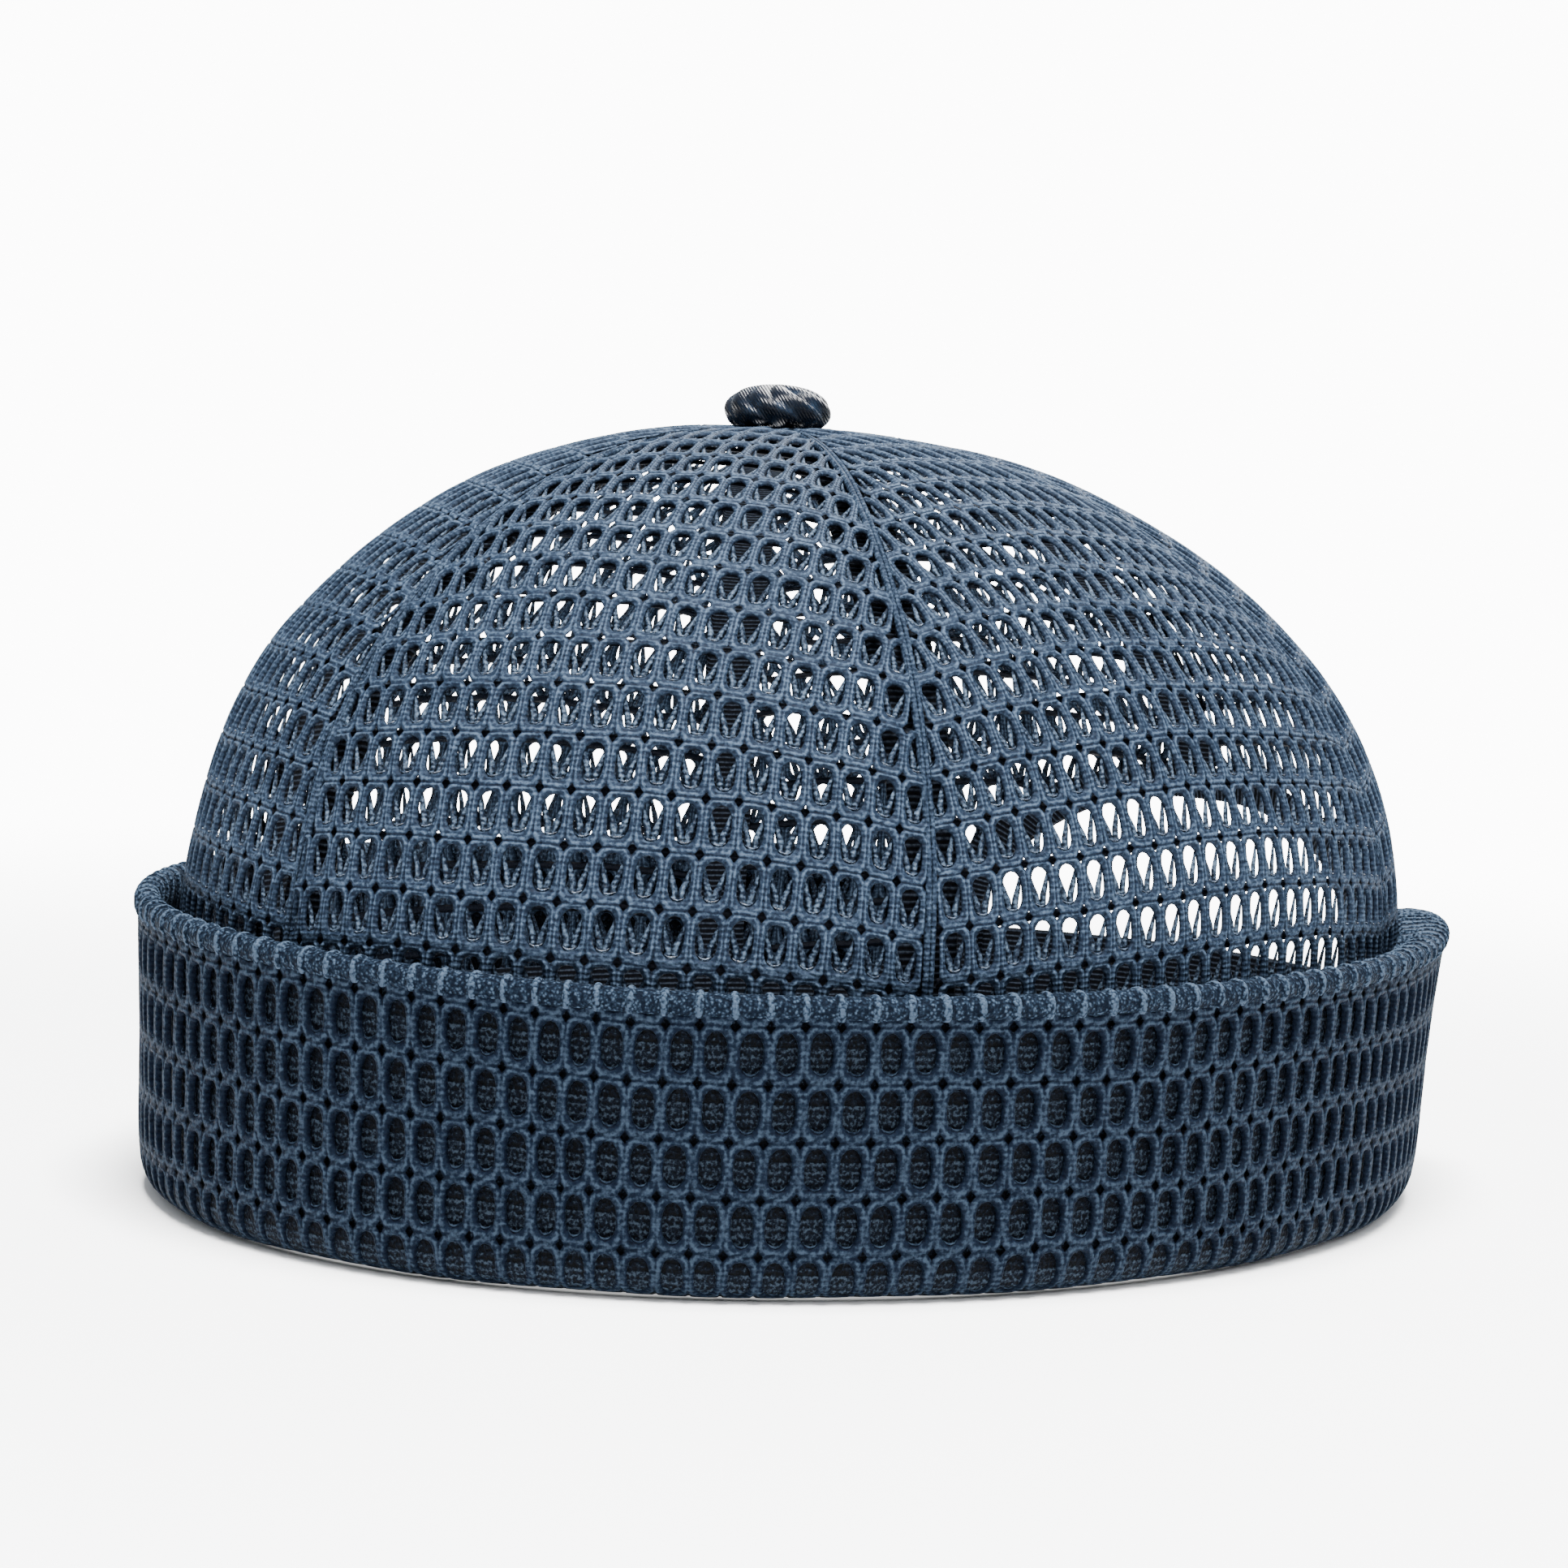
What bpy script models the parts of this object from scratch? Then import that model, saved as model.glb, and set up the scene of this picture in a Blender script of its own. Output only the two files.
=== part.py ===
"""Brimless docker cap of pierced spacer knit: six crown panels with taped seams, a covered top
button, a wide turned-up cuff with a rolled rim, and a half-moon opening with a strap at the back.

Metres, +Z up. The front of the cap faces -Y. The cap stands on the fold of its cuff at z = 0.
Turns are measured round the crown from the front centre towards +X.
"""

import math

import bmesh
import bpy
from mathutils import Vector

for old in list(bpy.data.objects):
    bpy.data.objects.remove(old)

# Driving dimensions in metres
CROWN_HALF_WIDTH = 0.0843
CROWN_HALF_LENGTH = 0.1018
CROWN_HEIGHT = 0.1160
OUTLINE_SHIFT = 0.0019
KNIT = 0.0020
GAP = 0.0003
LAP_GAP = 0.0005
SEAM_DIP = 0.0005
SEAM_DIP_REACH = 0.0060
PANEL_BOTTOM = 0.0140
TAPE_WIDTH = 0.0100
TAPE_TOP_WIDTH = 0.0048
TAPE_THICK = 0.0010
TAPE_TOP_RADIUS = 0.0105
BAND_BOTTOM = 0.0050
BAND_TOP = 0.0220
OPENING_HALF_WIDTH = 0.0420
OPENING_TOP = 0.0572
OPENING_SPRING = 0.0310
OPENING_SQUARENESS = 2.6
BINDING_WIDTH = 0.0062
CUFF_END_TURN = math.radians(149.0)
RIM_HEIGHT = 0.0430
STRAP_BOTTOM = 0.0042
STRAP_TOP = 0.0310
STRAP_THICK = 0.0022
STRAP_STANDOFF = 0.0004
STRAP_HALF_TURN = math.radians(42.0)
BUTTON_RADIUS = 0.0081
BUTTON_HEIGHT = 0.0055

# Sections of the crown's outer face, each a share of the crown's height, half width, half
# length and, for the forward shift, half length
CROWN_COLUMNS = ("height", "width", "length", "forward")
CROWN_SECTIONS = (
    (0.000, 0.992, 0.993, 0.000),
    (0.121, 0.997, 0.997, 0.000),
    (0.259, 1.002, 1.002, 0.000),
    (0.379, 1.003, 1.003, -0.003),
    (0.495, 0.980, 0.980, -0.005),
    (0.597, 0.935, 0.935, 0.002),
    (0.691, 0.868, 0.868, 0.012),
    (0.760, 0.793, 0.794, 0.020),
    (0.820, 0.709, 0.710, 0.032),
    (0.871, 0.618, 0.620, 0.042),
    (0.914, 0.523, 0.525, 0.052),
    (0.948, 0.422, 0.422, 0.062),
    (0.976, 0.298, 0.298, 0.075),
    (0.993, 0.162, 0.160, 0.091),
    (1.000, 0.036, 0.034, 0.102),
)

# Height of the cuff's rim as a share of the rim height, and how far the rim flares out as a
# share of the knit's thickness, at each turn in degrees
RIM_COLUMNS = ("turn", "height", "flare")
RIM_SECTIONS = (
    (-149.0, 0.965, 1.10),
    (-135.0, 0.990, 0.70),
    (-110.0, 1.000, 0.30),
    (-75.0, 1.030, 0.05),
    (-40.0, 1.035, 0.00),
    (0.0, 1.005, 0.00),
    (44.0, 0.960, 0.00),
    (80.0, 0.970, 0.10),
    (115.0, 0.990, 0.50),
    (137.0, 1.010, 1.10),
    (149.0, 0.985, 1.50),
)

# The cuff's cross-section: distance out from the crown as a share of the cuff's spread, height
# as a share of the fold's height, and whether the height is taken down from the rim
CUFF_SPREAD = 0.0060
FOLD_HEIGHT = 0.0060
CUFF_COLUMNS = ("out", "height", "from_rim")
CUFF_SECTION = (
    (-0.333, 2.280, False),
    (-0.333, 0.700, False),
    (-0.260, 0.220, False),
    (-0.100, 0.000, False),
    (0.230, 0.000, False),
    (0.590, 0.150, False),
    (0.830, 0.480, False),
    (0.935, 1.050, False),
    (0.985, 3.300, False),
    (1.030, 1.300, True),
    (1.090, 0.520, True),
    (1.080, 0.190, True),
    (0.950, 0.020, True),
    (0.790, 0.000, True),
    (0.620, 0.110, True),
    (0.550, 0.370, True),
    (0.600, 0.680, True),
    (0.670, 0.950, True),
    (0.630, 3.300, False),
    (0.580, 1.250, False),
    (0.500, 0.680, False),
    (0.350, 0.440, False),
    (0.170, 0.400, False),
    (0.020, 0.540, False),
    (-0.017, 0.900, False),
    (-0.017, 2.280, False),
)


def column(table, columns, name, place):
    """A column of a table at a place along its rows, curved smoothly through every row."""
    k = columns.index(name)
    last = len(table) - 1
    i = min(int(place), last - 1)
    f = place - i
    a, b, c, d = (table[min(max(j, 0), last)][k] for j in (i - 1, i, i + 1, i + 2))
    if i == 0:
        a = 2 * b - c
    if i == last - 1:
        d = 2 * c - b
    return b + f * (c - a + f * (2 * a - 5 * b + 4 * c - d + f * (3 * (b - c) + d - a))) / 2


def crown_value(name, place):
    return column(CROWN_SECTIONS, CROWN_COLUMNS, name, place)


def place_at(height):
    """The place along the crown's sections that has a height."""
    low, high = 0.0, float(len(CROWN_SECTIONS) - 1)
    for _ in range(40):
        mid = (low + high) / 2
        if crown_value("height", mid) * CROWN_HEIGHT < height:
            low = mid
        else:
            high = mid
    return (low + high) / 2


def place_of_radius(radius):
    """The place near the crown's top whose half width is a radius."""
    low, high = len(CROWN_SECTIONS) / 2, float(len(CROWN_SECTIONS) - 1)
    for _ in range(40):
        mid = (low + high) / 2
        if crown_value("width", mid) * CROWN_HALF_WIDTH > radius:
            low = mid
        else:
            high = mid
    return (low + high) / 2


def smooth_crown(turn, place):
    width = crown_value("width", place) * CROWN_HALF_WIDTH
    length = crown_value("length", place) * CROWN_HALF_LENGTH
    centre = OUTLINE_SHIFT - crown_value("forward", place) * CROWN_HALF_LENGTH
    return Vector(
        (
            width * math.sin(turn),
            centre - length * math.cos(turn),
            crown_value("height", place) * CROWN_HEIGHT,
        )
    )


def crown(turn, place, out=0.0):
    """A point a distance out from the crown's outer face, which dips a little at each seam."""
    step = 0.02
    at = smooth_crown(turn, place)
    across = smooth_crown(turn + step, place) - smooth_crown(turn - step, place)
    low = max(place - step, 0.0)
    high = min(place + step, len(CROWN_SECTIONS) - 1.0)
    normal = across.cross(smooth_crown(turn, high) - smooth_crown(turn, low)).normalized()
    seam = round(turn / math.radians(60)) * math.radians(60)
    away = (smooth_crown(seam, place) - at).length / SEAM_DIP_REACH
    return at + normal * (out - SEAM_DIP * math.exp(-away * away))


def base_ring(turn, out, height):
    """A point out from the crown's widest outline at a height, for the upright pieces."""
    width, length = CROWN_HALF_WIDTH, CROWN_HALF_LENGTH
    normal = Vector((length * math.sin(turn), -width * math.cos(turn), 0)).normalized()
    at = Vector((width * math.sin(turn), OUTLINE_SHIFT - length * math.cos(turn), height))
    return at + normal * out


def back_face(x, height, out):
    """The point of the crown's back above or below a spot in the plane of the opening."""
    place = place_at(height)
    width = crown_value("width", place) * CROWN_HALF_WIDTH
    return crown(math.pi - math.asin(x / width), place, out)


def turn_of(distance, turn, place):
    """The turn a distance along the crown away from another turn."""
    step = 0.01
    ahead = smooth_crown(turn + step, place)
    return turn + distance * step / (ahead - smooth_crown(turn, place)).length


def material(name, colour, roughness):
    made = bpy.data.materials.new(name)
    made.use_nodes = True
    shader = made.node_tree.nodes["Principled BSDF"]
    shader.inputs["Base Color"].default_value = (*colour, 1)
    shader.inputs["Roughness"].default_value = roughness
    return made


KNIT_BLUE = material("steel_blue_spacer_knit", (0.052, 0.100, 0.185), 0.82)
TAPE_NAVY = material("navy_seam_tape", (0.020, 0.034, 0.065), 0.85)
BUTTON_NAVY = material("navy_button_cover", (0.016, 0.032, 0.066), 0.42)


def add_body(name, points, faces, finish, smooth_below=math.radians(42)):
    """One closed body facing out, shaded smooth except at its sharp edges."""
    mesh = bpy.data.meshes.new(name)
    build = bmesh.new()
    corners = [build.verts.new(p) for p in points]
    for face in faces:
        build.faces.new([corners[i] for i in face])
    bmesh.ops.recalc_face_normals(build, faces=build.faces)
    build.normal_update()
    if build.calc_volume(signed=True) < 0:
        bmesh.ops.reverse_faces(build, faces=build.faces)
    for face in build.faces:
        face.smooth = True
    for edge in build.edges:
        edge.smooth = edge.calc_face_angle(0) < smooth_below
    build.to_mesh(mesh)
    build.free()
    body = bpy.data.objects.new(name, mesh)
    bpy.context.scene.collection.objects.link(body)
    mesh.materials.append(finish)
    return body


def add_shell(name, outer, inner, finish):
    """A sheet with thickness, from two grids of points that match."""
    rows, columns = len(outer), len(outer[0])
    points = [p for grid in (outer, inner) for row in grid for p in row]
    skip = rows * columns

    def at(side, i, j):
        return side * skip + i * columns + j

    faces = []
    for i in range(rows - 1):
        for j in range(columns - 1):
            faces.append((at(0, i, j), at(0, i, j + 1), at(0, i + 1, j + 1), at(0, i + 1, j)))
            faces.append((at(1, i, j), at(1, i + 1, j), at(1, i + 1, j + 1), at(1, i, j + 1)))
    for i in range(rows - 1):
        for j in (0, columns - 1):
            faces.append((at(0, i, j), at(0, i + 1, j), at(1, i + 1, j), at(1, i, j)))
    for j in range(columns - 1):
        for i in (0, rows - 1):
            faces.append((at(0, i, j), at(1, i, j), at(1, i, j + 1), at(0, i, j + 1)))
    return add_body(name, points, faces, finish)


def add_sweep(name, sections, finish):
    """A solid swept through closed cross-sections, with an end face on each end."""
    size = len(sections[0])
    points = [p for section in sections for p in section]
    faces = []
    for i in range(len(sections) - 1):
        for j in range(size):
            k = (j + 1) % size
            faces.append((i * size + j, i * size + k, (i + 1) * size + k, (i + 1) * size + j))
    faces.append(tuple(range(size)))
    faces.append(tuple((len(sections) - 1) * size + j for j in range(size)))
    return add_body(name, points, faces, finish)


# Crown panels, each between two seams
PANEL_ACROSS, PANEL_UP = 9, 16
PANELS = (
    ("crown_panel_front_left", 0),
    ("crown_panel_side_left", 1),
    ("crown_panel_back_left", 2),
    ("crown_panel_back_right", 3),
    ("crown_panel_side_right", 4),
    ("crown_panel_front_right", 5),
)
first_place, last_place = place_at(PANEL_BOTTOM), len(CROWN_SECTIONS) - 1.0
panels = {}
for name, number in PANELS:
    outer, inner = [], []
    for i in range(PANEL_UP + 1):
        place = first_place + (last_place - first_place) * i / PANEL_UP
        start = turn_of(GAP / 2, math.radians(60 * number), place)
        end = turn_of(-GAP / 2, math.radians(60 * (number + 1)), place)
        turns = [start + (end - start) * j / PANEL_ACROSS for j in range(PANEL_ACROSS + 1)]
        outer.append([crown(turn, place) for turn in turns])
        inner.append([crown(turn, place, -KNIT) for turn in turns])
    panels[name] = add_shell(name, outer, inner, KNIT_BLUE)


def arch(angle, wider=0.0):
    """Half-moon outline of the back opening: across and up, from +X over the top to -X."""
    power = 2 / OPENING_SQUARENESS
    across, up = math.cos(angle), math.sin(angle)
    x = math.copysign(abs(across) ** power, across) * (OPENING_HALF_WIDTH + wider)
    return x, OPENING_SPRING + (OPENING_TOP + wider - OPENING_SPRING) * abs(up) ** power


# Half-moon cut through the two back panels
ARCH_STEPS = 28
outline = [arch(math.pi * i / ARCH_STEPS) for i in range(ARCH_STEPS + 1)]
below = PANEL_BOTTOM - CUFF_SPREAD
outline = [(OPENING_HALF_WIDTH, below), *outline, (-OPENING_HALF_WIDTH, below)]
cut_sections = [
    [Vector((x, y, z)) for x, z in outline] for y in (CROWN_HALF_LENGTH / 2, CROWN_HALF_LENGTH * 1.3)
]
cutter = add_sweep("opening_cutter", cut_sections, TAPE_NAVY)
cutter.hide_render = True
cutter.display_type = "WIRE"
for name in ("crown_panel_back_left", "crown_panel_back_right"):
    cut = panels[name].modifiers.new("back_opening", "BOOLEAN")
    cut.operation = "DIFFERENCE"
    cut.solver = "EXACT"
    cut.object = cutter

# Seam tapes under the six seams
TAPES = (
    ("seam_tape_front", 0, BAND_TOP + GAP),
    ("seam_tape_front_left", 1, BAND_TOP + GAP),
    ("seam_tape_back_left", 2, BAND_TOP + GAP),
    ("seam_tape_back", 3, OPENING_TOP + BINDING_WIDTH + GAP),
    ("seam_tape_back_right", 4, BAND_TOP + GAP),
    ("seam_tape_front_right", 5, BAND_TOP + GAP),
)
tape_top = place_of_radius(TAPE_TOP_RADIUS)
for name, number, bottom in TAPES:
    seam = math.radians(60 * number)
    outer, inner = [], []
    step = (last_place - first_place) / PANEL_UP
    rows = [first_place + step * i for i in range(PANEL_UP + 1)]
    low = place_at(bottom)
    rows = [low, *(place for place in rows if low + step / 9 < place < tape_top - step / 9), tape_top]
    for place in rows:
        radius = crown_value("width", place) * CROWN_HALF_WIDTH
        half = min(TAPE_WIDTH, TAPE_TOP_WIDTH * radius / TAPE_TOP_RADIUS) / 2
        turns = [turn_of(side * half, seam, place) for side in (-1, 0, 1)]
        outer.append([crown(turn, place, -KNIT - LAP_GAP) for turn in turns])
        inner.append([crown(turn, place, -KNIT - LAP_GAP - TAPE_THICK) for turn in turns])
    add_shell(name, outer, inner, TAPE_NAVY)

# Binding inside the edge of the back opening
BINDING_STEPS = 32
outer, inner = [], []
for i in range(-2, BINDING_STEPS + 3):
    angle = math.pi * min(max(i, 0), BINDING_STEPS) / BINDING_STEPS
    beyond = max(-i, i - BINDING_STEPS, 0) / 2
    drop = (OPENING_SPRING - BAND_TOP - GAP) * beyond
    near, far = arch(angle), arch(angle, BINDING_WIDTH)
    rows = (near, arch(angle, BINDING_WIDTH / 2), far)
    outer.append([back_face(x, z - drop, -KNIT - LAP_GAP) for x, z in rows])
    inner.append([back_face(x, z - drop, -KNIT - LAP_GAP - TAPE_THICK) for x, z in rows])
add_shell("opening_binding", outer, inner, TAPE_NAVY)

# Head band inside the joint of crown and cuff
BAND_STEPS = 60
outer, inner = [], []
for i in range(BAND_STEPS + 1):
    turn = CUFF_END_TURN * (2 * i / BAND_STEPS - 1)
    heights = (BAND_BOTTOM, BAND_TOP)
    outer.append([crown(turn, place_at(z), -KNIT - GAP - SEAM_DIP) for z in heights])
    inner.append([crown(turn, place_at(z), -KNIT - GAP - SEAM_DIP - TAPE_THICK) for z in heights])
add_shell("head_band", outer, inner, TAPE_NAVY)


def rim_value(name, turn):
    """A column of the rim's table at a turn."""
    degrees = math.degrees(turn)
    turns = [row[RIM_COLUMNS.index("turn")] for row in RIM_SECTIONS]
    i = max(k for k in range(len(turns) - 1) if turns[k] <= degrees + 1e-9)
    place = i + (degrees - turns[i]) / (turns[i + 1] - turns[i])
    return column(RIM_SECTIONS, RIM_COLUMNS, name, min(place, len(turns) - 1.0))


# Turned-up cuff: inner leg, fold, outer wall and rolled rim in one section
CUFF_STEPS = 72
sections = []
for i in range(CUFF_STEPS + 1):
    turn = CUFF_END_TURN * (2 * i / CUFF_STEPS - 1)
    rim = rim_value("height", turn) * RIM_HEIGHT
    flare = rim_value("flare", turn) * KNIT
    section = []
    for out, height, from_rim in CUFF_SECTION:
        z = rim - height * FOLD_HEIGHT if from_rim else height * FOLD_HEIGHT
        lean = flare * (z / rim) ** 2 if out > 0.25 else 0.0
        section.append(base_ring(turn, out * CUFF_SPREAD + lean, z))
    sections.append(section)
add_sweep("cuff", sections, KNIT_BLUE)

# Strap across the back opening, its ends tucked between crown and cuff
STRAP_STEPS = 28
outer, inner = [], []
for i in range(STRAP_STEPS + 1):
    turn = math.pi + STRAP_HALF_TURN * (2 * i / STRAP_STEPS - 1)
    heights = (STRAP_BOTTOM, STRAP_TOP)
    outer.append([base_ring(turn, STRAP_STANDOFF + STRAP_THICK, z) for z in heights])
    inner.append([base_ring(turn, STRAP_STANDOFF, z) for z in heights])
add_shell("back_strap", outer, inner, KNIT_BLUE)

# Covered top button, as shares of its radius and height
BUTTON_PROFILE = (
    (0.86, 0.00),
    (0.97, 0.10),
    (1.00, 0.30),
    (0.95, 0.52),
    (0.80, 0.74),
    (0.58, 0.89),
    (0.32, 0.97),
)
BUTTON_STEPS = 32
top = smooth_crown(0, last_place)
centre = OUTLINE_SHIFT - crown_value("forward", last_place) * CROWN_HALF_LENGTH
foot = top.z + GAP
points = [Vector((0, centre, foot)), Vector((0, centre, foot + BUTTON_HEIGHT))]
for share, lift in BUTTON_PROFILE:
    for k in range(BUTTON_STEPS):
        turn = 2 * math.pi * k / BUTTON_STEPS
        reach = share * BUTTON_RADIUS
        spot = (reach * math.sin(turn), centre - reach * math.cos(turn), foot + lift * BUTTON_HEIGHT)
        points.append(Vector(spot))
faces = []
for k in range(BUTTON_STEPS):
    n = (k + 1) % BUTTON_STEPS
    ring = 2 + BUTTON_STEPS * (len(BUTTON_PROFILE) - 1)
    faces.append((0, 2 + n, 2 + k))
    faces.append((1, ring + k, ring + n))
    for i in range(len(BUTTON_PROFILE) - 1):
        a = 2 + i * BUTTON_STEPS
        faces.append((a + k, a + n, a + BUTTON_STEPS + n, a + BUTTON_STEPS + k))
add_body("top_button", points, faces, BUTTON_NAVY)
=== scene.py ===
"""Docker cap of open spacer knit, laid over its solid model: six net crown panels, seam tapes, a
bound half-moon opening, a turned-up net cuff with a rolled rim, a back strap and a covered button.
"""

import bpy
import numpy as np
from mathutils import Matrix, Vector


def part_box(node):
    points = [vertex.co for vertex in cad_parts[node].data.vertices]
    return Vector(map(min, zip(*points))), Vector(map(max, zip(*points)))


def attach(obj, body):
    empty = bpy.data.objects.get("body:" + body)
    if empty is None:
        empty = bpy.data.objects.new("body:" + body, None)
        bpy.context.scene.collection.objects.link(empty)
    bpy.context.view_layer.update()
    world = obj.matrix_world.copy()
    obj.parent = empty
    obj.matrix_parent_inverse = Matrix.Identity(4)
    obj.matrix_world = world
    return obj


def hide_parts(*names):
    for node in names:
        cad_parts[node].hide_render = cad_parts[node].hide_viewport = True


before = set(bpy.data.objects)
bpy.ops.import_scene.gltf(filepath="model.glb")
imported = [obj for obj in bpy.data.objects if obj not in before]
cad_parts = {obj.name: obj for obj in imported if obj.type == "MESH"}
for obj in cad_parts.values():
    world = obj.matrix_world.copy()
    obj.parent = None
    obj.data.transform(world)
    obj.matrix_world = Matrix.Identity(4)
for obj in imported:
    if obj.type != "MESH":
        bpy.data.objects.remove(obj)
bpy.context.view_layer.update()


# Crown shape: the smooth dome that the six knit panels are sewn to, widest just above the cuff
# and pulled towards the front at the top. It is measured from the solid panels, and every
# piece of the crown is laid on it.
DOME_SECTIONS = np.array(
    [  # height, width, length and forward shift, as shares of the dome's own sizes
        (0.000, 0.992, 0.993, 0.000),
        (0.121, 0.997, 0.997, 0.000),
        (0.259, 1.002, 1.002, 0.000),
        (0.379, 1.003, 1.003, -0.003),
        (0.495, 0.980, 0.980, -0.005),
        (0.597, 0.935, 0.935, 0.002),
        (0.691, 0.868, 0.868, 0.012),
        (0.760, 0.793, 0.794, 0.020),
        (0.820, 0.709, 0.710, 0.032),
        (0.871, 0.618, 0.620, 0.042),
        (0.914, 0.523, 0.525, 0.052),
        (0.948, 0.422, 0.422, 0.062),
        (0.976, 0.298, 0.298, 0.075),
        (0.993, 0.162, 0.160, 0.091),
        (1.000, 0.036, 0.034, 0.102),
    ]
)
WIDEST = DOME_SECTIONS[:, 1].max()
side_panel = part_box("crown_panel_side_left")[1]
front_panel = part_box("crown_panel_front_left")[0]
button_low, button_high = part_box("top_button")
dome_half_width = side_panel.x / WIDEST
dome_half_length = 0.1018
dome_middle = front_panel.y + dome_half_length * WIDEST
dome_height = 0.1160
SEAM_DIP, SEAM_DIP_REACH = 0.0005, 0.0060
TOP_PLACE = len(DOME_SECTIONS) - 1.0
SLOPE_STEP = 0.02  # turn and place apart, to take the dome's slope from
SIXTH = np.pi / 3


def curved(a, b, c, d, f):
    """A share f of the way from b to c on a smooth curve through a, b, c and d."""
    return b + f * (c - a + f * (2 * a - 5 * b + 4 * c - d + f * (3 * (b - c) + d - a))) / 2


def dome_share(column, place):
    """A share of the dome's shape at places up its sections, curved through every section."""
    i = np.clip(np.asarray(place).astype(int), 0, len(DOME_SECTIONS) - 2)
    f = place - i
    row = DOME_SECTIONS[:, column]
    row = np.concatenate(([2 * row[0] - row[1]], row, [2 * row[-1] - row[-2]]))
    return curved(*(row[i + k] for k in range(4)), f)


def dome_skin(turn, place):
    """Points of the smooth dome. Turns go round from the front towards +X."""
    width = dome_share(1, place) * dome_half_width
    length = dome_share(2, place) * dome_half_length
    centre = dome_middle - dome_share(3, place) * dome_half_length
    height = dome_share(0, place) * dome_height
    return np.stack([width * np.sin(turn), centre - length * np.cos(turn), height], -1)


def on_dome(turn, place, out):
    """Points a distance out from the crown's face, which dips a little at its six seams."""
    turn, place, out = np.broadcast_arrays(turn, place, out)
    at = dome_skin(turn, place)
    across = dome_skin(turn + SLOPE_STEP, place) - dome_skin(turn - SLOPE_STEP, place)
    high, low = np.minimum(place + SLOPE_STEP, TOP_PLACE), np.maximum(place - SLOPE_STEP, 0)
    normal = np.cross(across, dome_skin(turn, high) - dome_skin(turn, low))
    normal /= np.linalg.norm(normal, axis=-1, keepdims=True)
    away = np.linalg.norm(dome_skin(np.round(turn / SIXTH) * SIXTH, place) - at, axis=-1)
    dip = SEAM_DIP * np.exp(-((away / SEAM_DIP_REACH) ** 2))
    return at + normal * (out - dip)[..., None]


place_steps = np.linspace(0, TOP_PLACE, 1200)
height_steps = dome_share(0, place_steps) * dome_height


def place_of_height(height):
    """The place up the dome's sections at a height."""
    return np.interp(height, height_steps, place_steps)


# Spacer knit: the cap's one cloth, a 3-D mesh of polyester yarn. Its face is a net of upright
# ribs joined by rows of crossing strands with small eyelets, with long rounded gaps between.
# Behind each gap two thick yarns run from the ribs down to a V, tied by a loop of bright yarn.
# Each cell has its own thin ring of yarn, so that a rib is two yarns side by side.
CELL_WIDTH, CELL_HEIGHT = 0.00450, 0.00735
FACE, SPACER, LOOP = range(3)
EYELET_HALF_WIDTH, EYELET_HALF_HEIGHT = 0.66, 0.84  # millimetres, as in all of knit_cell
SMALLEST_FACE = 2e-9  # twice the area, in square metres, of a face that is squeezed flat at a seam
HALF_CELL = np.array([CELL_WIDTH, CELL_HEIGHT]) / 2
RING_SECTIONS = (  # share of the way to the gap, height out and painted shade depth: on a rib, by an eyelet
    (0.00, -0.20, 0.26, -0.30, 0.20),
    (0.34, 0.00, 0.92, -0.02, 1.00),
    (0.62, -0.14, 0.40, -0.20, 0.36),
    (0.92, -0.18, 0.50, -0.24, 0.50),
    (1.00, -0.65, 0.00, -0.65, 0.00),
)


def ring_faces(rings, count, capped):
    """Four-sided faces between closed rings of points, and over the first and last if capped."""
    i, k = (g.ravel() for g in np.meshgrid(np.arange(rings - 1), np.arange(count), indexing="ij"))
    j = (k + 1) % count
    faces = np.stack([i * count + k, i * count + j, (i + 1) * count + j, (i + 1) * count + k], -1)
    if not capped:
        return faces
    k = np.arange(count // 2 - 1)
    cap = np.stack([k, k + 1, count - 2 - k, count - 1 - k], -1)
    return np.concatenate([faces, cap[:, ::-1], cap + (rings - 1) * count])


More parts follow.
